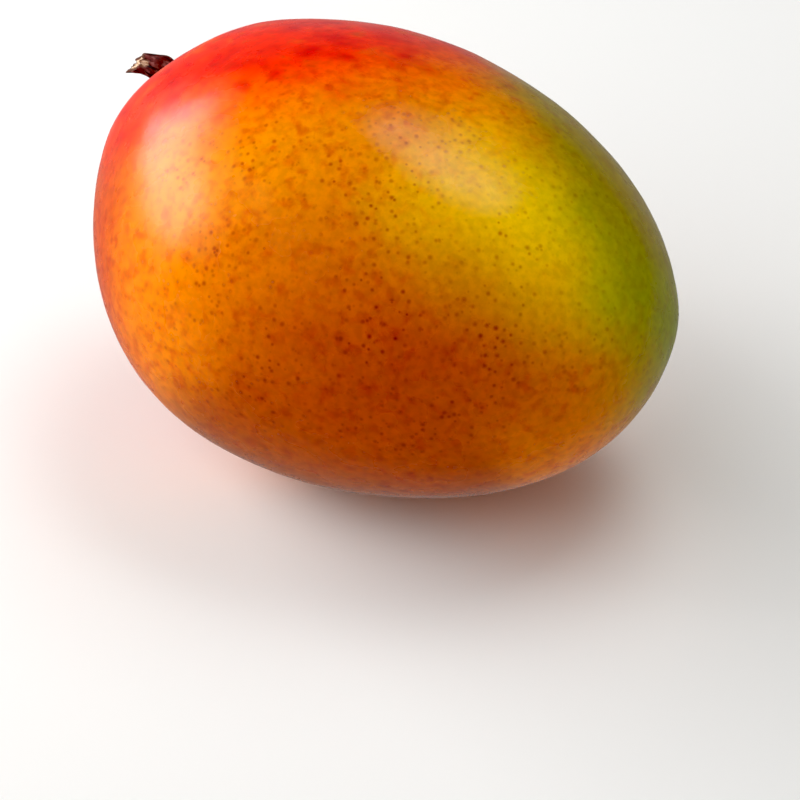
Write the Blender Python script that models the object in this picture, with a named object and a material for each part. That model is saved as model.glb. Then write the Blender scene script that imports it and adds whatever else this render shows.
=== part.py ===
"""A whole ripe mango with a dry stub of stalk, lying on its cheek.

The fruit is one grown body. Its long axis runs along X, with the stalk at -X and the tip at +X. The two flat
sides of a mango are its cheeks: one faces down and the other up. The belly, which is the side that the stalk and
the tip lean towards, faces +Y. Metres, +Z up, with the origin on the ground under the middle of the bounding box.
"""
import math

import bmesh
import bpy
from mathutils import Matrix, Vector

MM = 0.001

# Driving sizes of the fruit
LENGTH = 125 * MM               # from the stalk's end to the tip
BREADTH = 96 * MM               # from back to belly
THICKNESS = 87 * MM             # from cheek to cheek
EGG = 0.07                      # the stalk's end is wider than the tip's by this share, each way from the middle
END_TAPER = 0.042               # both ends are this much slimmer than an ellipsoid's
TIP_FULLNESS = 0.1              # and the tip is this much fuller again
BELLY_LEAN = 3.1 * MM           # both ends lean this far towards the belly
BELLY_SKEW = 3.1 * MM           # the tip's half is carried towards the belly and the other half away from it

# The hollow round the stalk, and the shoulder that surrounds it. Spreads are degrees from the hollow's middle.
STALK_OFF_AXIS = 22             # degrees from the long axis to the hollow's middle
STALK_ROUND_AXIS = 45           # degrees from the belly up towards the upper cheek
HOLLOW_DEPTH = 4.2 * MM
HOLLOW_SPREAD = 10.5
SHOULDER_HEIGHT = 1.2 * MM
SHOULDER_AT = 25
SHOULDER_SPREAD = 11

# The beak, a low swelling on the belly's side of the tip, and the shallow dip above it
BEAK_OFF_AXIS = 20
BEAK_HEIGHT = 0.7 * MM
BEAK_SPREAD = 9
DIP_OFF_AXIS = 43
DIP_DEPTH = 0.5 * MM
DIP_SPREAD = 13

# The slow unevenness of a grown surface
SWELL_HEIGHT = 0.2 * MM

# How the fruit lies
CHEEK_ROLL = 12                 # degrees that the belly is rolled up from level
TIP_DROP = 4                    # degrees that the slimmer tip hangs below level
FOOT_DEPTH = 0.6 * MM           # the skin gives this much where the fruit rests, which leaves a small flat

# Rings and meridians of the fruit, closer together round the stalk
MERIDIANS = 72
RINGS = 46
RING_CROWDING = 0.3
RING_CROWDING_ENDS = 0.2

# The stub of stalk, measured outwards from the bottom of the hollow. Angles round it are degrees from the upper
# side, over the belly's side.
STUB_LENGTH = 14.2 * MM         # to the middle of the break
STUB_LEAN = 8                   # degrees that the stub leaves the fruit off its long axis
STUB_BEND = 2.4 * MM            # how far it then bends back towards that axis
STUB_RADIUS = 2.4 * MM
COLLAR_RADIUS = 3.9 * MM        # the swollen ring that the stalk sits on, half sunk in the flesh
COLLAR_AT = -0.3 * MM
COLLAR_SPREAD = 1.5 * MM
KNUCKLE_RADIUS = 2.8 * MM       # the old joint, near where the stalk broke from its twig
KNUCKLE_AT = 9 * MM
KNUCKLE_SPREAD = 1.8 * MM
ROOT_DEPTH = 3 * MM             # how far the stalk is sunk in the flesh
BREAK_SLANT = 1.9 * MM          # half the height of the slanting break
BREAK_HIGH_SIDE = 145
SPLINTER_RISE = 0.9 * MM
SPLINTER_SIDE = 200
SPLINTER_SPREAD = 38
TOOTH_RISE = 0.3 * MM           # the ragged edge of the break
TEETH = 7
RIDGE_HEIGHT = 0.13 * MM        # lengthways ridges of the shrunk bark
RIDGES = 8
RIDGE_TWIST = 60                # radians that the ridges turn in a metre
STUB_SIDES = 28
STUB_RINGS = 18
BREAK_RINGS = (0.3, 0.35)       # the break's face is stepped inwards by these shares of the radius
SEAT_GAP = 0.3 * MM             # clearance between the stalk and the flesh round it
SOCKET_REACH = 3.5 * MM         # the socket is open to this height over the bottom of the hollow
SOCKET_RINGS = 8
CREASE = 50                     # degrees, past which an edge of the stub shows as an edge
CUT_TOLERANCE = 0.001 * MM

# Skin and bark as seen: sRGB 0 to 255, roughness
SKIN_COLOUR = (226, 122, 22)
SKIN_ROUGHNESS = 0.42
BARK_COLOUR = (84, 44, 38)
BARK_ROUGHNESS = 0.85


def clear_scene():
    for old in list(bpy.data.objects):
        bpy.data.objects.remove(old, do_unlink=True)


def new_collection(name):
    made = bpy.data.collections.new(name)
    bpy.context.scene.collection.children.link(made)
    return made


def linear(level):
    """One sRGB level from 0 to 255 as linear light."""
    share = level / 255
    return share / 12.92 if share <= 0.04045 else ((share + 0.055) / 1.055) ** 2.4


def surface(name, colour, roughness):
    made = bpy.data.materials.new(name)
    made.use_nodes = True
    shader = made.node_tree.nodes["Principled BSDF"]
    shader.inputs["Base Color"].default_value = (*(linear(level) for level in colour), 1)
    shader.inputs["Roughness"].default_value = roughness
    shader.inputs["Metallic"].default_value = 0
    return made


def bell(distance, spread):
    """A smooth hump: 1 at no distance, fading out past the spread."""
    return math.exp(-(distance / spread) ** 2)


def direction(off_axis, round_axis, end):
    """The direction that far off the long axis, at the stalk's end (-1) or the tip's (+1), in degrees."""
    off, turn = math.radians(off_axis), math.radians(round_axis)
    return Vector((end * math.cos(off), math.sin(off) * math.cos(turn), math.sin(off) * math.sin(turn)))


STALK_WAY = direction(STALK_OFF_AXIS, STALK_ROUND_AXIS, -1)
BEAK_WAY = direction(BEAK_OFF_AXIS, 0, 1)
DIP_WAY = direction(DIP_OFF_AXIS, 0, 1)


def swell(way):
    """Slow rises and falls of the skin: two crossed waves, a few crests of each round the fruit."""
    slow = math.sin(4.1 * way.x + 2.3 * way.y + 0.7) * math.cos(3.7 * way.z - 1.9 * way.y + 0.4)
    quick = math.sin(7.3 * way.z + 3.1 * way.x - 1.2) * math.cos(6.1 * way.y + 2.2 * way.z + 0.9)
    return SWELL_HEIGHT * (slow + 0.5 * quick)


def fruit_point(way):
    """The point of the skin that lies that way from the fruit's middle, before the fruit is laid down."""
    along = way.x
    girth = 1 - EGG * along - END_TAPER * along ** 2 + TIP_FULLNESS * along ** 3
    point = Vector((
        LENGTH / 2 * along,
        BREADTH / 2 * way.y * girth + BELLY_LEAN * along ** 2 + BELLY_SKEW * along * (1 - along ** 2),
        THICKNESS / 2 * way.z * girth,
    ))
    from_stalk = math.degrees(way.angle(STALK_WAY))
    from_beak = math.degrees(way.angle(BEAK_WAY))
    from_dip = math.degrees(way.angle(DIP_WAY))
    rise = swell(way) * (1 - bell(from_stalk, SHOULDER_AT))
    rise += SHOULDER_HEIGHT * bell(from_stalk - SHOULDER_AT, SHOULDER_SPREAD)
    rise -= HOLLOW_DEPTH * bell(from_stalk, HOLLOW_SPREAD)
    rise += BEAK_HEIGHT * bell(from_beak, BEAK_SPREAD)
    rise -= DIP_DEPTH * bell(from_dip, DIP_SPREAD)
    return point + way * rise


def lying():
    """The turn that lays the fruit down: rolled on its cheek, with the tip lower."""
    return Matrix.Rotation(math.radians(TIP_DROP), 4, "Y") @ Matrix.Rotation(math.radians(CHEEK_ROLL), 4, "X")


def crowd(angle):
    """Moves a ring's angle from the stalk so that rings lie closer together there."""
    return angle - RING_CROWDING * math.sin(angle) - RING_CROWDING_ENDS * math.sin(2 * angle) / 2


def add_fruit(parts, turn):
    """A sphere whose pole is the stalk's place, with each point moved out to the skin, and a flat foot."""
    bpy.ops.mesh.primitive_uv_sphere_add(segments=MERIDIANS, ring_count=RINGS, radius=1)
    fruit = bpy.context.object
    fruit.name = "fruit"
    to_stalk = Vector((0, 0, 1)).rotation_difference(STALK_WAY)
    for vertex in fruit.data.vertices:
        from_pole = crowd(vertex.co.angle(Vector((0, 0, 1))))
        round_pole = math.atan2(vertex.co.y, vertex.co.x)
        flat = math.sin(from_pole)
        way = to_stalk @ Vector((flat * math.cos(round_pole), flat * math.sin(round_pole), math.cos(from_pole)))
        vertex.co = turn @ fruit_point(way.normalized())
    ground = min(vertex.co.z for vertex in fruit.data.vertices) + FOOT_DEPTH
    cut_foot(fruit.data, ground)
    fruit.data.materials.append(surface("skin", SKIN_COLOUR, SKIN_ROUGHNESS))
    fruit.data.shade_smooth()
    move_to(fruit, parts)
    return fruit, ground


def cut_foot(mesh, ground):
    """Cuts the skin off level with the ground and closes the cut with one flat face."""
    shell = bmesh.new()
    shell.from_mesh(mesh)
    every = shell.verts[:] + shell.edges[:] + shell.faces[:]
    cut = bmesh.ops.bisect_plane(
        shell, geom=every, dist=CUT_TOLERANCE, plane_co=(0, 0, ground), plane_no=(0, 0, 1), clear_inner=True)
    rim = [item for item in cut["geom_cut"] if isinstance(item, bmesh.types.BMEdge)]
    bmesh.ops.holes_fill(shell, edges=rim, sides=0)
    bmesh.ops.recalc_face_normals(shell, faces=shell.faces)
    shell.to_mesh(mesh)
    shell.free()


def move_to(thing, collection):
    for held in list(thing.users_collection):
        held.objects.unlink(thing)
    collection.objects.link(thing)


def stub_radius(height):
    """The stub's radius at a height over the bottom of the hollow: collar, neck, knuckle."""
    knuckle = (KNUCKLE_RADIUS - STUB_RADIUS) * bell(height - KNUCKLE_AT, KNUCKLE_SPREAD)
    collar = (COLLAR_RADIUS - STUB_RADIUS) * bell(height - COLLAR_AT, COLLAR_SPREAD)
    return STUB_RADIUS + knuckle + collar


def stub_place():
    """Stands the stub in the bottom of the hollow, its upper side up, leaning off the fruit's long axis."""
    upper_side_up = Matrix.Rotation(math.radians(-90), 4, "Y")
    lean = Vector((-1, 0, 0)).rotation_difference(direction(STUB_LEAN, STALK_ROUND_AXIS, -1))
    return Matrix.Translation(fruit_point(STALK_WAY)) @ lean.to_matrix().to_4x4() @ upper_side_up


def degrees_between(angle, side):
    return math.degrees(math.remainder(angle - math.radians(side), math.tau))


def break_height(across, angle):
    """How high the broken end stands there: a slant, a splinter along its high side, and ragged teeth."""
    slant = BREAK_SLANT * math.cos(math.radians(degrees_between(angle, BREAK_HIGH_SIDE)))
    splinter = SPLINTER_RISE * bell(degrees_between(angle, SPLINTER_SIDE), SPLINTER_SPREAD)
    teeth = TOOTH_RISE * math.sin(TEETH * angle)
    return STUB_LENGTH + across * (slant + splinter + teeth)


def ringed_cylinder(name, sides, rings):
    """A cylinder of radius 1 from height 0 to 1, with rings of edges along it."""
    bpy.ops.mesh.primitive_cylinder_add(vertices=sides, radius=1, depth=1, location=(0, 0, 0))
    made = bpy.context.object
    made.name = name
    made.data.transform(Matrix.Translation((0, 0, 0.5)))
    shape = bmesh.new()
    shape.from_mesh(made.data)
    uprights = [edge for edge in shape.edges if edge.verts[0].co.z != edge.verts[1].co.z]
    bmesh.ops.subdivide_edges(shape, edges=uprights, cuts=rings)
    return made, shape


def add_stub(parts, place):
    """A ringed cylinder, each ring set to the stub's radius at its height, with its end broken off."""
    stub, shape = ringed_cylinder("stem", STUB_SIDES, STUB_RINGS)
    for width in BREAK_RINGS:
        end = [face for face in shape.faces if face.normal.z > 0.9 and len(face.verts) == STUB_SIDES]
        bmesh.ops.inset_region(shape, faces=end, thickness=width, use_even_offset=True)
    inwards = -Vector((math.sin(math.radians(STALK_ROUND_AXIS)), math.cos(math.radians(STALK_ROUND_AXIS))))
    for vertex in shape.verts:
        across = vertex.co.xy.length
        angle = math.atan2(vertex.co.y, vertex.co.x)
        height = vertex.co.z * (break_height(across, angle) + ROOT_DEPTH) - ROOT_DEPTH
        ridge = RIDGE_HEIGHT * math.sin(RIDGES * angle + RIDGE_TWIST * height)
        radius = across * (stub_radius(height) + ridge)
        bend = STUB_BEND * max(0, height / STUB_LENGTH) ** 2
        vertex.co = (radius * math.cos(angle), radius * math.sin(angle), height)
        vertex.co.xy += bend * inwards
    shape.to_mesh(stub.data)
    shape.free()
    stub.data.transform(place)
    stub.data.materials.append(surface("bark", BARK_COLOUR, BARK_ROUGHNESS))
    stub.data.shade_smooth()
    stub.data.set_sharp_from_angle(angle=math.radians(CREASE))
    move_to(stub, parts)
    return stub


def cut_socket(fruit, cutters, place):
    """The socket in the flesh that the stalk's root and collar sit in, a little wider than they are."""
    socket, shape = ringed_cylinder("stalk_socket", STUB_SIDES, SOCKET_RINGS)
    clearance = SEAT_GAP + RIDGE_HEIGHT
    for vertex in shape.verts:
        height = vertex.co.z * (ROOT_DEPTH + SEAT_GAP + SOCKET_REACH) - ROOT_DEPTH - SEAT_GAP
        radius = stub_radius(min(height, COLLAR_AT)) + clearance
        vertex.co = (*(vertex.co.xy * radius), height)
    shape.to_mesh(socket.data)
    shape.free()
    socket.data.transform(place)
    socket.hide_render = True
    socket.display_type = "WIRE"
    move_to(socket, cutters)
    bore = fruit.modifiers.new("stalk_socket", "BOOLEAN")
    bore.operation = "DIFFERENCE"
    bore.solver = "EXACT"
    bore.object = socket
    return socket


def main():
    clear_scene()
    parts = new_collection("mango")
    cutters = new_collection("cutters")
    turn = lying()
    fruit, ground = add_fruit(parts, turn)
    place = turn @ stub_place()
    stub = add_stub(parts, place)
    socket = cut_socket(fruit, cutters, place)
    # The origin goes under the middle of the bounding box
    corners = [vertex.co for piece in (fruit, stub) for vertex in piece.data.vertices]
    middle_x = (min(c.x for c in corners) + max(c.x for c in corners)) / 2
    middle_y = (min(c.y for c in corners) + max(c.y for c in corners)) / 2
    settle = Matrix.Translation((-middle_x, -middle_y, -ground))
    for piece in (fruit, stub, socket):
        piece.data.transform(settle)


main()
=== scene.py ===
import math

import bmesh
import bpy
from mathutils import Matrix, Vector, noise


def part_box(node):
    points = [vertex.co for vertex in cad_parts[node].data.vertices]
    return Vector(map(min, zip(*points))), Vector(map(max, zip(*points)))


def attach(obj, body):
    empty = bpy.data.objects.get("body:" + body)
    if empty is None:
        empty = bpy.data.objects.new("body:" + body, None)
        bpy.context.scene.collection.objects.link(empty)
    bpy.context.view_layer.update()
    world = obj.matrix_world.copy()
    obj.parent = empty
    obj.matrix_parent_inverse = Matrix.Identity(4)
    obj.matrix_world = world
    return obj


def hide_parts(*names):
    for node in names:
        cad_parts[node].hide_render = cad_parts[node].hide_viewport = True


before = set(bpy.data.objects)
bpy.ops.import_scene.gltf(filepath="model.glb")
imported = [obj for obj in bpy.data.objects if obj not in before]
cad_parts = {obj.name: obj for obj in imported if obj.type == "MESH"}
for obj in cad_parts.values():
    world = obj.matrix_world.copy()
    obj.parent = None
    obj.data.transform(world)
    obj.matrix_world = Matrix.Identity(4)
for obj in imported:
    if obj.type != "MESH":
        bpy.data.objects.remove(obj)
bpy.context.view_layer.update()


# The table: a wide sheet of matt white board that the fruit lies on. It isn't part of the fruit. Its rough
# face scatters light back up at the underside and hardly shines. The wax doesn't mirror it, so the skin
# keeps its deep colours low down.
TABLE_WIDTH = 12                # metres
TABLE_WHITE = "EEEEEC"
BOARD_ROUGHNESS = 0.9
BOARD_SPECULAR = 0.1


def linear(hex_colour):
    """An sRGB hex colour as linear red, green, blue and alpha."""
    shares = [int(hex_colour[at:at + 2], 16) / 255 for at in (0, 2, 4)]
    light = [share / 12.92 if share <= 0.04045 else ((share + 0.055) / 1.055) ** 2.4 for share in shares]
    return (*light, 1)


bpy.ops.mesh.primitive_plane_add(size=TABLE_WIDTH, location=(0, 0, 0))
table = bpy.context.object
table.name = "table"
board = bpy.data.materials.new("matt_white_board")
board.use_nodes = True
board_shader = board.node_tree.nodes["Principled BSDF"]
board_shader.inputs["Base Color"].default_value = linear(TABLE_WHITE)
board_shader.inputs["Roughness"].default_value = BOARD_ROUGHNESS
board_shader.inputs["Specular IOR Level"].default_value = BOARD_SPECULAR
table.data.materials.append(board)
table.visible_glossy = False


# The studio: a pale room with soft boxes low on the left and overhead, which the waxy skin mirrors as two
# soft highlights, and dull white boards that only fill in the shade. The room is slightly brighter low down,
# which gives the fruit's rim its pale edge.
ROOM_WHITE = "FFFFFF"
ROOM_STRENGTH = 0.25            # light from the room's upper half
FLOOR_STRENGTH = 0.32           # and from its lower half
HORIZON_SOFTNESS = 0.15         # the halves blend within this height of the horizon, on a sphere of radius 1
BLACK_LEVEL = 0.026             # this much light counts as black, as in a crisp product picture

# Each box or board lies that way from the fruit's middle. Metres and watts, with the width first in a size.
BOXES = {
    "left_box": {"way": (-0.9, -0.18, 0.33), "distance": 0.8, "size": (0.72, 0.36), "power": 3.4},
    "left_board": {"way": (-0.9, -0.15, 0.33), "distance": 0.8, "size": (0.68, 0.36), "power": 2.9},
    "top_box": {"way": (0.08, 0.25, 0.96), "distance": 0.8, "size": (0.44, 0.24), "power": 0.85},
    "top_board": {"way": (0.02, 0.45, 0.89), "distance": 0.8, "size": (0.55, 0.42), "power": 1.45},
    "front_board": {"way": (-0.3, -0.75, 0.6), "distance": 1.2, "size": (1.5, 1.2), "power": 10},
}
SHINING_BOXES = ("left_box", "top_box")         # the wax mirrors these alone


def add_node(tree, kind, settings, inputs):
    """Adds a shader node with these properties. Its sockets get values or links from other sockets."""
    made = tree.nodes.new("ShaderNode" + kind)
    for name, value in settings.items():
        setattr(made, name, value)
    for socket, value in inputs.items():
        if isinstance(value, bpy.types.NodeSocket):
            tree.links.new(value, made.inputs[socket])
        else:
            made.inputs[socket].default_value = value
    return made


room = bpy.data.worlds.new("room")
room.use_nodes = True
tree = room.node_tree
background = tree.nodes["Background"]
background.inputs["Color"].default_value = linear(ROOM_WHITE)
room_way = add_node(tree, "TexCoord", {}, {}).outputs["Generated"]
height_in_room = add_node(tree, "SeparateXYZ", {}, {0: room_way}).outputs["Z"]
room_light = add_node(tree, "MapRange", {"interpolation_type": "SMOOTHSTEP"}, {
    "Value": height_in_room, "From Min": -HORIZON_SOFTNESS, "From Max": HORIZON_SOFTNESS,
    "To Min": FLOOR_STRENGTH, "To Max": ROOM_STRENGTH}).outputs[0]
tree.links.new(room_light, background.inputs["Strength"])
bpy.context.scene.world = room
picture = bpy.context.scene.view_settings
picture.view_transform = "Standard"
picture.use_curve_mapping = True
picture.curve_mapping.black_level = [BLACK_LEVEL] * 3

fruit_low, fruit_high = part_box("fruit")
FRUIT_MIDDLE = (fruit_low + fruit_high) / 2
for name, box in BOXES.items():
    way = Vector(box["way"]).normalized()
    bpy.ops.object.light_add(type="AREA", location=FRUIT_MIDDLE + way * box["distance"])
    lamp = bpy.context.object
    lamp.name = name
    lamp.rotation_euler = way.to_track_quat("Z", "Y").to_euler()
    lamp.data.shape = "RECTANGLE"
    lamp.data.size, lamp.data.size_y = box["size"]
    lamp.data.energy = box["power"]
    lamp.visible_glossy = name in SHINING_BOXES


# The camera: a long lens that looks down on the fruit's back, with the stalk at the far left. The fruit's
# middle lies left of the picture's middle and well above it.
MM = 0.001
VIEW_ROUND = 34                 # degrees from straight in front of the back, towards the tip
VIEW_ABOVE = 33.4               # degrees over the table
VIEW_DISTANCE = 750 * MM
AIM_RIGHT = 6.6 * MM            # the camera points this far right of the fruit's middle
AIM_DOWN = 27.55 * MM           # and this far below it
CAMERA_ROLL = 2.14              # degrees
LENS_LENGTH = 169.7             # millimetres
SENSOR_WIDTH = 36               # millimetres

round_angle, above_angle = math.radians(VIEW_ROUND), math.radians(VIEW_ABOVE)
to_camera = Vector((
    math.sin(round_angle) * math.cos(above_angle),
    -math.cos(round_angle) * math.cos(above_angle),
    math.sin(above_angle),
))
rightwards = Vector((math.cos(round_angle), math.sin(round_angle), 0))
upwards = to_camera.cross(rightwards)
camera_place = FRUIT_MIDDLE + VIEW_DISTANCE * to_camera
aim = FRUIT_MIDDLE + AIM_RIGHT * rightwards - AIM_DOWN * upwards
bpy.ops.object.camera_add(location=camera_place)
camera = bpy.context.object
camera.name = "camera"
look = (camera_place - aim).to_track_quat("Z", "Y").to_matrix().to_4x4()
roll = Matrix.Rotation(math.radians(CAMERA_ROLL), 4, "Z")
camera.matrix_world = Matrix.Translation(camera_place) @ look @ roll
camera.data.lens = LENS_LENGTH
camera.data.sensor_width = SENSOR_WIDTH
bpy.context.scene.camera = camera


# The fruit: one grown body closed by its own skin, a thin tough hide with a coat of natural wax. It has a
# hollow round the stalk at its broad end, a low beak beside its tip, and a small flat where it rests.
FRUIT_HALF = (fruit_high - fruit_low) / 2
FORM_ROUNDS = 2                 # times that the solid's copy is halved, to wrap the skin on
CAGE_CUTS = 14                  # cuts across each side of the cage
CAGE_MARGIN = 1.1               # the cage is this many times the fruit's size
CAGE_ROUNDS = 3                 # times that the wrapped cage is then halved
MERGE_DISTANCE = 0.001 * MM
SOCKET_WIDTH = 5 * MM           # the solid's socket for the stalk is closed within this distance of its axis
SOCKET_REACH = 9 * MM
HOLLOW_DROP = 0.9 * MM          # and the lid's middle is pressed in this far
SWELLS = {"slow_swells": (26 * MM, 0.5 * MM), "small_dents": (7 * MM, 0.12 * MM)}   # width, height
PUCKERS = 8                     # low folds that run out of the hollow
PUCKER_REACH = 6 * MM           # from the stalk's axis to where they are highest
PUCKER_SPREAD = 5 * MM
PUCKER_HEIGHT = 0.2 * MM
PUCKER_SHIFT = 2.5              # radians that noise shifts a fold by


def take(thing):
    """Leaves that object as the only one selected, and the active one."""
    bpy.ops.object.select_all(action="DESELECT")
    thing.select_set(True)
    bpy.context.view_layer.objects.active = thing


def finish_with(thing, kind, **settings):
    """Adds a modifier with these settings and applies it."""
    take(thing)
    modifier = thing.modifiers.new(kind.lower(), kind)
    for name, value in settings.items():
        setattr(modifier, name, value)
    bpy.ops.object.modifier_apply(modifier=modifier.name)


def bell(distance, spread):
    """A smooth hump: 1 at no distance, fading out past the spread."""
    return math.exp(-(distance / spread) ** 2)


# The stalk's root is the only part of its solid that faces along the fruit's length towards the tip
ROOT_FACING = 0.95              # least share of its normal that lies along X
STALK_ROOT_DEPTH = 3 * MM       # from the bottom of the hollow to the root
root_faces = [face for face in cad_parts["stem"].data.polygons if face.normal.x > ROOT_FACING]
root_area = sum(face.area for face in root_faces)
root_middle = sum((face.center * face.area for face in root_faces), Vector()) / root_area
STALK_WAY = -root_faces[0].normal
hollow_bottom = root_middle + STALK_WAY * STALK_ROOT_DEPTH


def off_stalk(point):
    """How far a point is from the stalk's axis, and how far out along it from the bottom of the hollow."""
    along = (point - hollow_bottom).dot(STALK_WAY)
    return (point - hollow_bottom - along * STALK_WAY).length, along


# A smooth form to wrap the skin on: a copy of the solid, its socket closed
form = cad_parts["fruit"].copy()
form.data = form.data.copy()
form.name = "fruit_form"
bpy.context.scene.collection.objects.link(form)
take(form)
bpy.ops.object.mode_set(mode="EDIT")
bpy.ops.mesh.select_all(action="SELECT")
bpy.ops.mesh.remove_doubles(threshold=MERGE_DISTANCE)
bpy.ops.mesh.tris_convert_to_quads()
bpy.ops.mesh.select_all(action="DESELECT")
shape = bmesh.from_edit_mesh(form.data)
for face in shape.faces:
    across, along = off_stalk(face.calc_center_median())
    face.select_set(across < SOCKET_WIDTH and abs(along) < SOCKET_REACH)
bmesh.update_edit_mesh(form.data)
bpy.ops.mesh.delete(type="FACE")
bpy.ops.mesh.select_all(action="SELECT")
bpy.ops.mesh.fill_holes(sides=0)
bpy.ops.mesh.select_all(action="DESELECT")
shape = bmesh.from_edit_mesh(form.data)
for face in shape.faces:
    across, along = off_stalk(face.calc_center_median())
    face.select_set(across < SOCKET_WIDTH and abs(along) < SOCKET_REACH)
bmesh.update_edit_mesh(form.data)
bpy.ops.mesh.poke()
shape = bmesh.from_edit_mesh(form.data)
for vertex in shape.verts:
    across, along = off_stalk(vertex.co)
    if across < SOCKET_WIDTH / 2 and abs(along) < SOCKET_REACH:
        vertex.co -= HOLLOW_DROP * STALK_WAY
bmesh.update_edit_mesh(form.data)
bpy.ops.object.mode_set(mode="OBJECT")
finish_with(form, "SUBSURF", levels=FORM_ROUNDS, render_levels=FORM_ROUNDS)

bpy.ops.mesh.primitive_cube_add(size=2, location=(0, 0, 0))
fruit = bpy.context.object
fruit.name = "fruit_skin"
bpy.ops.object.mode_set(mode="EDIT")
bpy.ops.mesh.select_all(action="SELECT")
bpy.ops.mesh.subdivide(number_cuts=CAGE_CUTS)
bpy.ops.transform.tosphere(value=1)
bpy.ops.transform.resize(value=CAGE_MARGIN * FRUIT_HALF)
bpy.ops.transform.translate(value=FRUIT_MIDDLE)
bpy.ops.object.mode_set(mode="OBJECT")
finish_with(fruit, "SHRINKWRAP", target=form, wrap_method="PROJECT", use_negative_direction=True,
            use_positive_direction=True)
for halving in range(CAGE_ROUNDS):
    finish_with(fruit, "SUBSURF", levels=1, render_levels=1)
    finish_with(fruit, "SHRINKWRAP", target=form, wrap_method="NEAREST_SURFACEPOINT")
bpy.data.objects.remove(form)

for name, (width, height) in SWELLS.items():
    clouds = bpy.data.textures.new(name, "CLOUDS")
    clouds.noise_scale = width
    finish_with(fruit, "DISPLACE", texture=clouds, texture_coords="LOCAL", strength=height, mid_level=0.5)
for vertex in fruit.data.vertices:
    across, along = off_stalk(vertex.co)
    if abs(along) < SOCKET_REACH:
        offset = vertex.co - hollow_bottom
        shift = PUCKER_SHIFT * noise.noise(vertex.co / PUCKER_REACH)
        turn = PUCKERS * math.atan2(offset.z, offset.y) + shift
        vertex.co += STALK_WAY * PUCKER_HEIGHT * math.sin(turn) * bell(across - PUCKER_REACH, PUCKER_SPREAD)
    vertex.co.z = max(vertex.co.z, 0)
bpy.ops.object.shade_smooth()
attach(fruit, "root")
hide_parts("fruit")

# Some washes are painted shade, in whole or in part: low on the front and on the far upper side.
# Waxy mango skin: a thin hide full of pigment under a coat of its own wax. The pigment lies in washes that
# run into each other in blotches, and the wax gives a satin shine over all of them.
#
# Each wash is deepest towards one way from the fruit's middle, where all three half sizes count as 1. It
# starts and is full at two cosines of the angle from that way. One that is full past 1 never quite covers.
GROUND_COLOUR = "F28800"
WASHES = {
    "gold": {"colour": "DE8000", "way": (0.18, -0.44, 0.88), "starts": 0.80, "full": 1.00},
    "yellow": {"colour": "FACC00", "way": (0.72, -0.26, 0.65), "starts": 0.77, "full": 1.03},
    "olive": {"colour": "86A000", "way": (0.80, 0.56, 0.22), "starts": 0.51, "full": 1.03},
    # a darker brown-olive on the far upper side: painted shade
    "shaded_olive": {"colour": "A08800", "way": (0.54, 0.72, 0.42), "starts": 0.65, "full": 0.98},
    "stalk_end": {"colour": "C84A00", "way": (-0.98, 0.01, -0.19), "starts": 0.18, "full": 0.70},
    "blush": {"colour": "E62600", "way": (-0.64, 0.32, 0.70), "starts": 0.50, "full": 0.85},
    # a deeper brown low on the front, towards the underside: painted shade
    "underside_shade": {"colour": "B05800", "way": (0.32, -0.78, -0.54), "starts": 0.75, "full": 0.90},
    # a deeper red-brown on the lower front: partly the skin's own red, partly painted shade
    "red_and_shade_patch": {"colour": "B44400", "way": (0.52, -0.85, 0.09), "starts": 0.52, "full": 1.06},
}
BLOTCH_WIDTH = 20 * MM
BLOTCH_DRIFT = 0.24             # how far a blotch shifts a wash's edge, in half sizes
FLUSH_WIDTH = 6 * MM            # deeper and paler patches in the blush
FLUSHES = {"CA0600": (0.50, 0.69), "E24A00": (0.44, 0.29)}   # noise levels where each starts and is full
STREAK_WIDTH = 2.4 * MM         # short streaks of deeper pigment, which fade out on yellow and green skin
STREAK_TINT = "EAC2A8"
STREAK_LEVELS = (0.48, 0.72)
STREAK_FADES = {"yellow": 0.85, "olive": 0.6}
MOTTLE_WIDTH = 1.5 * MM         # fine light and dark flecks
MOTTLE_LEVELS = (0.35, 0.65)
MOTTLE_RANGE = (0.93, 1.11)

# Pores: corky dots. The real ones are about half a millimetre wide, and they are drawn wider than that, with
# soft edges, so that they show. They are strongest on the middle of the back, and weaker on red or green
# skin and at the stalk's end.
PORE_SPACING = 1.6 * MM
PORE_RADIUS = 0.72 * MM
SMALLEST_PORE = 0.5             # share of the largest one's radius
PORE_EDGE = (1.1, 0.1)          # shares of its radius where a pore starts and is darkest
PORE_TINT = "BC8058"
PORE_WAY = (0.36, -0.78, 0.52)
PORE_FACING = (0.5, 0.97)       # cosines of the angle from that way where they are weakest and strongest
PORES_AWAY = 0.5                # their strength where they are weakest
PORE_DRIFT = 14 * MM            # their strength also drifts over this width
DRIFT_LEVELS = (0.35, 0.6)
DRIFT_LEAST = 0.3               # and stays at least this
PORE_FADES = {"blush": 0.45, "stalk_end": 0.3, "olive": 0.4}

# Round the stalk the skin stays green, with a ring of cork where it meets the wood. Each ring is full within
# its first radius and ends at its second one, with a ragged edge.
RAGGED_EDGE = 2 * MM
CORK_RADIUS = (2.9 * MM, 4.1 * MM)
CORK_COLOUR = "6A4426"
GREEN_RADIUS = (3 * MM, 12 * MM)
GREEN_COLOUR = "8C8A14"

# A brown dot on the beak, where the flower's style dropped off
SCAR_WAY = (0.87, 0.49, 0.03)
SCAR_RADIUS = (0.5 * MM, 1.7 * MM)
SCAR_COLOUR = "5C3E1E"

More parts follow.
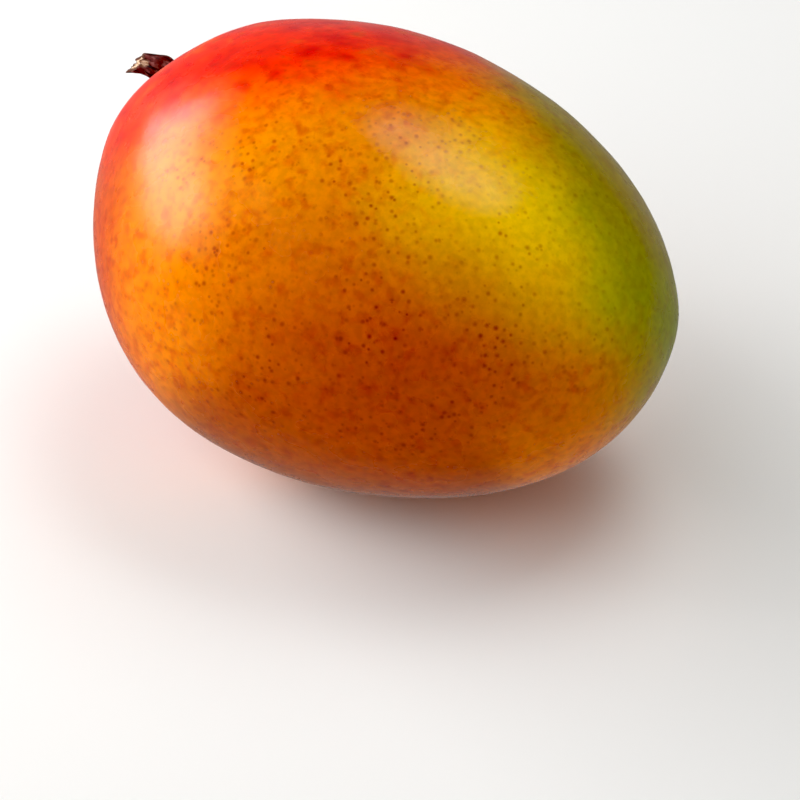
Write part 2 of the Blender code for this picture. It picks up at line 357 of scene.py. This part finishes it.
skin = bpy.data.materials.new("waxy_mango_skin")
skin.use_nodes = True
tree = skin.node_tree
shader = tree.nodes["Principled BSDF"]
spot = add_node(tree, "TexCoord", {}, {}).outputs["Object"]
centred = add_node(tree, "Mapping", {}, {
    "Vector": spot,
    "Location": [-middle / half for middle, half in zip(FRUIT_MIDDLE, FRUIT_HALF)],
    "Scale": [1 / half for half in FRUIT_HALF],
})
way_out = add_node(tree, "VectorMath", {"operation": "NORMALIZE"}, {0: centred.outputs[0]})
blotches = add_node(tree, "TexNoise", {}, {
    "Vector": spot, "Scale": 1 / BLOTCH_WIDTH, "Detail": 4, "Roughness": 0.6})
drift = add_node(tree, "VectorMath", {"operation": "MULTIPLY_ADD"}, {
    0: blotches.outputs["Color"], 1: [BLOTCH_DRIFT] * 3, 2: [-BLOTCH_DRIFT / 2] * 3})
drifted = add_node(tree, "VectorMath", {"operation": "ADD"}, {0: way_out.outputs[0], 1: drift.outputs[0]})

colour = add_node(tree, "RGB", {}, {}).outputs[0]
colour.default_value = linear(GROUND_COLOUR)
cover = {}
for name, wash in WASHES.items():
    facing = add_node(tree, "VectorMath", {"operation": "DOT_PRODUCT"}, {
        0: drifted.outputs[0], 1: Vector(wash["way"]).normalized()})
    cover[name] = add_node(tree, "MapRange", {"interpolation_type": "SMOOTHSTEP"}, {
        "Value": facing.outputs["Value"], "From Min": wash["starts"], "From Max": wash["full"]}).outputs[0]
    colour = add_node(tree, "Mix", {"data_type": "RGBA"}, {
        0: cover[name], 6: colour, 7: linear(wash["colour"])}).outputs[2]

flush = add_node(tree, "TexNoise", {}, {"Vector": spot, "Scale": 1 / FLUSH_WIDTH, "Detail": 3})
for hex_colour, (starts, full) in FLUSHES.items():
    patch = add_node(tree, "MapRange", {}, {
        "Value": flush.outputs["Fac"], "From Min": starts, "From Max": full})
    patch = add_node(tree, "Math", {"operation": "MULTIPLY"}, {0: patch.outputs[0], 1: cover["blush"]})
    colour = add_node(tree, "Mix", {"data_type": "RGBA"}, {
        0: patch.outputs[0], 6: colour, 7: linear(hex_colour)}).outputs[2]

# Streaks and flecks
streaks = add_node(tree, "TexNoise", {}, {
    "Vector": spot, "Scale": 1 / STREAK_WIDTH, "Detail": 3, "Distortion": 0.3})
streaked = add_node(tree, "MapRange", {}, {
    "Value": streaks.outputs["Fac"], "From Min": STREAK_LEVELS[0], "From Max": STREAK_LEVELS[1]})
for name, fade in STREAK_FADES.items():
    kept = add_node(tree, "MapRange", {}, {"Value": cover[name], "To Min": 1, "To Max": 1 - fade})
    streaked = add_node(tree, "Math", {"operation": "MULTIPLY"}, {
        0: streaked.outputs[0], 1: kept.outputs[0]})
colour = add_node(tree, "Mix", {"data_type": "RGBA", "blend_type": "MULTIPLY"}, {
    0: streaked.outputs[0], 6: colour, 7: linear(STREAK_TINT)}).outputs[2]
mottle = add_node(tree, "TexNoise", {}, {"Vector": spot, "Scale": 1 / MOTTLE_WIDTH, "Detail": 2})
shade = add_node(tree, "MapRange", {}, {
    "Value": mottle.outputs["Fac"], "From Min": MOTTLE_LEVELS[0], "From Max": MOTTLE_LEVELS[1],
    "To Min": MOTTLE_RANGE[0], "To Max": MOTTLE_RANGE[1]})
colour = add_node(tree, "VectorMath", {"operation": "SCALE"}, {
    0: colour, "Scale": shade.outputs[0]}).outputs[0]

# Each pore has its own width
pores = add_node(tree, "TexVoronoi", {}, {"Vector": spot, "Scale": 1 / PORE_SPACING})
pore_size = add_node(tree, "SeparateColor", {}, {0: pores.outputs["Color"]})
pore_radius = add_node(tree, "MapRange", {}, {
    "Value": pore_size.outputs[0],
    "To Min": SMALLEST_PORE * PORE_RADIUS / PORE_SPACING, "To Max": PORE_RADIUS / PORE_SPACING})
from_pore = add_node(tree, "Math", {"operation": "DIVIDE"}, {
    0: pores.outputs["Distance"], 1: pore_radius.outputs[0]})
in_pore = add_node(tree, "MapRange", {"interpolation_type": "SMOOTHSTEP"}, {
    "Value": from_pore.outputs[0], "From Min": PORE_EDGE[0], "From Max": PORE_EDGE[1]})
pore_drifts = add_node(tree, "TexNoise", {}, {"Vector": spot, "Scale": 1 / PORE_DRIFT, "Detail": 2})
facing = add_node(tree, "VectorMath", {"operation": "DOT_PRODUCT"}, {
    0: way_out.outputs[0], 1: Vector(PORE_WAY).normalized()})
pore_strength = add_node(tree, "MapRange", {}, {
    "Value": pore_drifts.outputs["Fac"], "From Min": DRIFT_LEVELS[0], "From Max": DRIFT_LEVELS[1],
    "To Min": DRIFT_LEAST})
on_back = add_node(tree, "MapRange", {}, {
    "Value": facing.outputs["Value"], "From Min": PORE_FACING[0], "From Max": PORE_FACING[1],
    "To Min": PORES_AWAY})
pore_strength = add_node(tree, "Math", {"operation": "MULTIPLY"}, {
    0: pore_strength.outputs[0], 1: on_back.outputs[0]})
for name, fade in PORE_FADES.items():
    kept = add_node(tree, "MapRange", {}, {"Value": cover[name], "To Min": 1, "To Max": 1 - fade})
    pore_strength = add_node(tree, "Math", {"operation": "MULTIPLY"}, {
        0: pore_strength.outputs[0], 1: kept.outputs[0]})
pore_mark = add_node(tree, "Math", {"operation": "MULTIPLY"}, {
    0: in_pore.outputs[0], 1: pore_strength.outputs[0]})
colour = add_node(tree, "Mix", {"data_type": "RGBA", "blend_type": "MULTIPLY"}, {
    0: pore_mark.outputs[0], 6: colour, 7: linear(PORE_TINT)}).outputs[2]

# The green and the cork round the stalk, and the scar on the beak, whose middle is a point of the skin. The
# noise moves every spot by half the ragged edge on average, so the middles are moved by as much.
ragged = add_node(tree, "VectorMath", {"operation": "MULTIPLY_ADD"}, {
    0: streaks.outputs["Color"], 1: [RAGGED_EDGE] * 3, 2: spot})
scar_way = (Vector(SCAR_WAY) * FRUIT_HALF).normalized()
scar_middle = max((vertex.co for vertex in fruit.data.vertices),
                  key=lambda place: (place - FRUIT_MIDDLE).normalized().dot(scar_way))
for middle, (full, starts), hex_colour in (
    (hollow_bottom, GREEN_RADIUS, GREEN_COLOUR),
    (hollow_bottom, CORK_RADIUS, CORK_COLOUR),
    (scar_middle, SCAR_RADIUS, SCAR_COLOUR),
):
    away = add_node(tree, "VectorMath", {"operation": "DISTANCE"}, {
        0: ragged.outputs[0], 1: middle + Vector([RAGGED_EDGE / 2] * 3)})
    near = add_node(tree, "MapRange", {"interpolation_type": "SMOOTHSTEP"}, {
        "Value": away.outputs["Value"], "From Min": starts, "From Max": full})
    colour = add_node(tree, "Mix", {"data_type": "RGBA"}, {
        0: near.outputs[0], 6: colour, 7: linear(hex_colour)}).outputs[2]
tree.links.new(colour, shader.inputs["Base Color"])

# The wax lies unevenly, fine pebbling breaks up its shine, and the pores are a little duller
WAX_WIDTH = 9 * MM
WAX_LEVELS = (0.3, 0.7)
WAX_ROUGHNESS = (0.23, 0.32)
PORE_ROUGHNESS = 0.03           # and this much more in the pores
WAX_IOR = 1.5
BLOOM_WEIGHT = 0.05             # a faint bloom of fine wax grains
BLOOM_ROUGHNESS = 0.15
PEBBLE_WIDTH = 0.9 * MM
PEBBLE_HEIGHT = 0.012           # millimetres
wax = add_node(tree, "TexNoise", {}, {"Vector": spot, "Scale": 1 / WAX_WIDTH, "Detail": 3})
dullness = add_node(tree, "MapRange", {}, {
    "Value": wax.outputs["Fac"], "From Min": WAX_LEVELS[0], "From Max": WAX_LEVELS[1],
    "To Min": WAX_ROUGHNESS[0], "To Max": WAX_ROUGHNESS[1]})
dullness = add_node(tree, "Math", {"operation": "MULTIPLY_ADD"}, {
    0: pore_mark.outputs[0], 1: PORE_ROUGHNESS, 2: dullness.outputs[0]})
tree.links.new(dullness.outputs[0], shader.inputs["Roughness"])
pebbles = add_node(tree, "TexNoise", {}, {"Vector": spot, "Scale": 1 / PEBBLE_WIDTH, "Detail": 2})
relief = add_node(tree, "Math", {"operation": "MULTIPLY"}, {0: pebbles.outputs["Fac"], 1: PEBBLE_HEIGHT})
bump = add_node(tree, "Bump", {}, {"Height": relief.outputs[0], "Distance": MM})
tree.links.new(bump.outputs[0], shader.inputs["Normal"])
shader.inputs["IOR"].default_value = WAX_IOR
shader.inputs["Sheen Weight"].default_value = BLOOM_WEIGHT
shader.inputs["Sheen Roughness"].default_value = BLOOM_ROUGHNESS
fruit.data.materials.append(skin)


# The stem: the dry stub of the stalk that the fruit hung from. It is shrunken dark bark over pale wood,
# swollen at its foot, where it grows out of the flesh, and at an old joint near its end. It broke off on a
# slant, and a strip of bark tore away with the twig.
#
# It is made upright, and then set in the hollow. Sides are degrees round it, from its upper side, at 0, over
# the belly's side, at 90.
STUB_LENGTH = 14.2 * MM         # from the bottom of the hollow to the middle of the break
STUB_BEND = 2.4 * MM
STUB_BEND_GROWTH = 3            # the bend grows with this power of the height
STUB_BENDS_FROM = 45            # the side that it bends away from
STUB_RADIUS = 2.35 * MM
SWELLINGS = {"foot": (0, 2.6 * MM, 1.2 * MM), "joint": (9 * MM, 1.8 * MM, 0.45 * MM)}   # at, spread, rise
ROOT_DEPTH = 2.9 * MM
STUB_SIDES = 96
STUB_RINGS = 110
BREAK_RINGS = 7
END_FACING = 0.9                # the end's faces point up by more than this
BREAK_SLANT = 1.9 * MM          # half the height of the slant, and the side where it is highest
BREAK_HIGH_SIDE = 145
SPLINTERS = {200: (1 * MM, 34), 95: (0.6 * MM, 18), 330: (0.5 * MM, 14)}      # side: rise, spread in degrees
BREAK_EDGE = 0.99               # share of the radius where the break ends and the bark's edge starts
FIBRE_RISE = 0.55 * MM
FIBRE_WIDTH = 0.35 * MM
PITH_RADIUS = 0.28              # share of the stub's radius
PITH_DEPTH = 0.8 * MM
FRESH_REACH = 0.8               # share of the radius where the wood has lost all its fresh colour
FRESH_FADE = 0.4                # and the share over which it loses it
FRESH_ON_STRIP = 0.62           # how fresh the torn strip is, from 0, bark, to 1
WEATHERED = 0.35                # and the rest of the break
GRAIN_STRETCH = 6               # how many times longer than wide the fibres and cracks are
RIDGES = ((9, 60, 0.10 * MM), (17, -95, 0.06 * MM))       # how many, radians of twist in a metre, height
CRACK_WIDTH = 0.5 * MM
CRACK_DEPTH = 0.12 * MM
TORN_SIDE = -42
TORN_SPREAD = 26
TORN_BACK = 2.3 * MM            # from the break to the torn strip's middle
TORN_LENGTH = 1.3 * MM
TORN_DEPTH = 0.4 * MM
TORN_STEEPNESS = 2.4            # how sharply the torn strip ends
TORN_LEVEL = 0.7                # the higher, the narrower it is
TORN_RAGGEDNESS = 0.5
SPLIT_SIDE = -78
SPLIT_SPREAD = 9
SPLIT_LENGTH = 3.6 * MM
SPLIT_DEPTH = 0.55 * MM


def side_distance(angle, side):
    """Degrees between an angle in radians and a side in degrees."""
    return math.degrees(math.remainder(angle - math.radians(side), math.tau))


def grain(angle, height, width):
    """Noise from -1 to 1 that is drawn out along the stub, for fibres and cracks of that width."""
    round_stub = STUB_RADIUS / width
    along_stub = height / width / GRAIN_STRETCH
    return noise.noise(Vector((math.cos(angle) * round_stub, math.sin(angle) * round_stub, along_stub)))


def held(share):
    """A share, held between 0 and 1."""
    return min(1, max(0, share))


bpy.ops.mesh.primitive_cylinder_add(
    vertices=STUB_SIDES, radius=STUB_RADIUS, depth=STUB_LENGTH, location=(0, 0, STUB_LENGTH / 2))
stem = bpy.context.object
stem.name = "stem_stub"
take(stem)
bpy.ops.object.transform_apply(location=True, rotation=True, scale=True)
bpy.ops.object.mode_set(mode="EDIT")
bpy.ops.mesh.select_mode(type="EDGE")
bpy.ops.mesh.select_all(action="DESELECT")
shape = bmesh.from_edit_mesh(stem.data)
for edge in shape.edges:
    edge.select_set(abs(edge.verts[0].co.z - edge.verts[1].co.z) > STUB_LENGTH / 2)
bmesh.update_edit_mesh(stem.data)
bpy.ops.mesh.subdivide(number_cuts=STUB_RINGS)
bpy.ops.mesh.select_mode(type="FACE")
bpy.ops.mesh.select_all(action="DESELECT")
shape = bmesh.from_edit_mesh(stem.data)
for face in shape.faces:
    face.select_set(face.normal.z > END_FACING)
bmesh.update_edit_mesh(stem.data)
for ring in range(BREAK_RINGS):
    bpy.ops.mesh.inset(thickness=STUB_RADIUS / (BREAK_RINGS + 1))
bpy.ops.mesh.poke()
bpy.ops.object.mode_set(mode="OBJECT")

torn_wood = stem.data.attributes.new("torn_wood", "FLOAT", "POINT")
bend_way = -Vector((math.cos(math.radians(STUB_BENDS_FROM)), math.sin(math.radians(STUB_BENDS_FROM))))
top_height = max(vertex.co.z for vertex in stem.data.vertices)
for vertex in stem.data.vertices:
    across = vertex.co.xy.length / STUB_RADIUS
    angle = math.atan2(vertex.co.y, vertex.co.x)
    share = vertex.co.z / STUB_LENGTH
    on_break = top_height - vertex.co.z < MERGE_DISTANCE and across < BREAK_EDGE
    from_high_side = math.radians(side_distance(angle, BREAK_HIGH_SIDE))
    edge_height = STUB_LENGTH + across * BREAK_SLANT * math.cos(from_high_side)
    for side, (rise, spread) in SPLINTERS.items():
        edge_height += across * rise * bell(side_distance(angle, side), spread)
    edge_height += FIBRE_RISE * across * grain(angle, 0, FIBRE_WIDTH)
    if across < BREAK_EDGE:
        edge_height += FIBRE_RISE * noise.noise(vertex.co.xy.to_3d() / FIBRE_WIDTH)
    edge_height -= PITH_DEPTH * bell(across, PITH_RADIUS)
    height = share * (edge_height + ROOT_DEPTH) - ROOT_DEPTH
    from_end = STUB_LENGTH - height
    radius = STUB_RADIUS
    for at, spread, rise in SWELLINGS.values():
        radius += rise * bell(height - at, spread)
    for count, twist, ridge in RIDGES:
        radius += ridge * math.sin(count * angle + twist * height)
    radius -= CRACK_DEPTH * max(0, grain(angle, height, CRACK_WIDTH)) ** 0.5
    torn = bell(side_distance(angle, TORN_SIDE), TORN_SPREAD) * bell(from_end - TORN_BACK, TORN_LENGTH)
    torn = held(TORN_STEEPNESS * torn - TORN_LEVEL + TORN_RAGGEDNESS * grain(angle, height, FIBRE_WIDTH))
    split = bell(side_distance(angle, SPLIT_SIDE), SPLIT_SPREAD) * held(1 - from_end / SPLIT_LENGTH)
    radius -= TORN_DEPTH * torn + SPLIT_DEPTH * split
    radius *= across
    bend = STUB_BEND * max(0, height / STUB_LENGTH) ** STUB_BEND_GROWTH
    vertex.co = (radius * math.cos(angle), radius * math.sin(angle), height)
    vertex.co.xy += bend * bend_way
    inner = held((FRESH_REACH - across) / FRESH_FADE) if on_break else 0
    torn_wood.data[vertex.index].value = max(inner, FRESH_ON_STRIP * torn, WEATHERED * on_break)

# It stands in the hollow with its upper side up, on the side that the rolled fruit turns up
CHEEK_ROLL = 12                 # degrees
upper_side = Matrix.Rotation(math.radians(CHEEK_ROLL), 3, "X") @ Vector((0, 0, 1))
upper_side = (upper_side - upper_side.dot(STALK_WAY) * STALK_WAY).normalized()
belly_side = STALK_WAY.cross(upper_side)
stand = Matrix((upper_side, belly_side, STALK_WAY)).transposed().to_4x4()
stem.data.transform(Matrix.Translation(hollow_bottom) @ stand)
take(stem)
bpy.ops.object.shade_smooth()
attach(stem, "root")
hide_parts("stem")

# Dry bark over broken wood: shrunken maroon bark with near-black cracks, partly painted shade, and patches
# of greyish bloom, all quite matt. Where it broke, the wood is cream inside and weathered brown towards the
# bark, in coarse fibres.
BARK_COLOUR = "541A18"
# near-black in the cracks: partly the dark inner bark, partly painted shade in them
CRACK_AND_SHADE_COLOUR = "1C0E10"
BLOOM_COLOUR = "8A5450"
WEATHERED_COLOUR = "5E3A2C"
FRESH_COLOUR = "E6C8AC"
FIBRE_COLOUR = "A87C5A"
FIBRE_STRETCH = 7               # how many times longer than wide the colour's fibres and cracks are
CRACK_GRAIN = 0.55 * MM
FIBRE_GRAIN = 0.28 * MM         # real wood fibres are finer, and are drawn this coarse so that they show
BLOOM_WIDTH = 1.6 * MM
CRACK_LEVELS = (0.52, 0.40)     # noise levels where each starts and is full
BLOOM_LEVELS = (0.5, 0.72)
FIBRE_LEVELS = (0.42, 0.6)
BROKEN_LEVELS = (0.05, 0.3)     # freshness where bark turns to broken wood
FRESH_LEVELS = (0.4, 0.75)      # and where weathered wood turns to fresh wood
BARK_RELIEF = 0.10              # millimetres
BARK_ROUGHNESS = 0.75
BARK_SPECULAR = 0.35

bark = bpy.data.materials.new("dry_bark_and_broken_wood")
bark.use_nodes = True
tree = bark.node_tree
shader = tree.nodes["Principled BSDF"]
spot = add_node(tree, "TexCoord", {}, {}).outputs["Object"]
lie_down = stand.to_3x3().transposed()
upright = add_node(tree, "Mapping", {}, {
    "Vector": spot, "Location": -(lie_down @ hollow_bottom), "Rotation": lie_down.to_euler()})
fibrous = add_node(tree, "Mapping", {}, {"Vector": upright.outputs[0], "Scale": (1, 1, 1 / FIBRE_STRETCH)})
cracks = add_node(tree, "TexNoise", {}, {
    "Vector": fibrous.outputs[0], "Scale": 1 / CRACK_GRAIN, "Detail": 4})
cracked = add_node(tree, "MapRange", {}, {
    "Value": cracks.outputs["Fac"], "From Min": CRACK_LEVELS[0], "From Max": CRACK_LEVELS[1]})
bloom = add_node(tree, "TexNoise", {}, {"Vector": spot, "Scale": 1 / BLOOM_WIDTH, "Detail": 3})
bloomed = add_node(tree, "MapRange", {}, {
    "Value": bloom.outputs["Fac"], "From Min": BLOOM_LEVELS[0], "From Max": BLOOM_LEVELS[1]})
fibres = add_node(tree, "TexNoise", {}, {
    "Vector": fibrous.outputs[0], "Scale": 1 / FIBRE_GRAIN, "Detail": 2})
fibred = add_node(tree, "MapRange", {}, {
    "Value": fibres.outputs["Fac"], "From Min": FIBRE_LEVELS[0], "From Max": FIBRE_LEVELS[1]})
freshness = add_node(tree, "Attribute", {"attribute_name": "torn_wood"}, {})
broken = add_node(tree, "MapRange", {}, {
    "Value": freshness.outputs["Fac"], "From Min": BROKEN_LEVELS[0], "From Max": BROKEN_LEVELS[1]})
fresh = add_node(tree, "MapRange", {}, {
    "Value": freshness.outputs["Fac"], "From Min": FRESH_LEVELS[0], "From Max": FRESH_LEVELS[1]})
colour = add_node(tree, "Mix", {"data_type": "RGBA"}, {
    0: bloomed.outputs[0], 6: linear(BARK_COLOUR), 7: linear(BLOOM_COLOUR)}).outputs[2]
# The cracks turn near-black: partly the inner bark's colour, partly painted shade
colour = add_node(tree, "Mix", {"data_type": "RGBA"}, {
    0: cracked.outputs[0], 6: colour, 7: linear(CRACK_AND_SHADE_COLOUR)}).outputs[2]
wood = add_node(tree, "Mix", {"data_type": "RGBA"}, {
    0: fibred.outputs[0], 6: linear(FIBRE_COLOUR), 7: linear(FRESH_COLOUR)}).outputs[2]
wood = add_node(tree, "Mix", {"data_type": "RGBA"}, {
    0: fresh.outputs[0], 6: linear(WEATHERED_COLOUR), 7: wood}).outputs[2]
colour = add_node(tree, "Mix", {"data_type": "RGBA"}, {0: broken.outputs[0], 6: colour, 7: wood}).outputs[2]
tree.links.new(colour, shader.inputs["Base Color"])
relief = add_node(tree, "Math", {"operation": "MULTIPLY"}, {0: cracks.outputs["Fac"], 1: BARK_RELIEF})
bump = add_node(tree, "Bump", {}, {"Height": relief.outputs[0], "Distance": MM})
tree.links.new(bump.outputs[0], shader.inputs["Normal"])
shader.inputs["Roughness"].default_value = BARK_ROUGHNESS
shader.inputs["Specular IOR Level"].default_value = BARK_SPECULAR
stem.data.materials.append(bark)
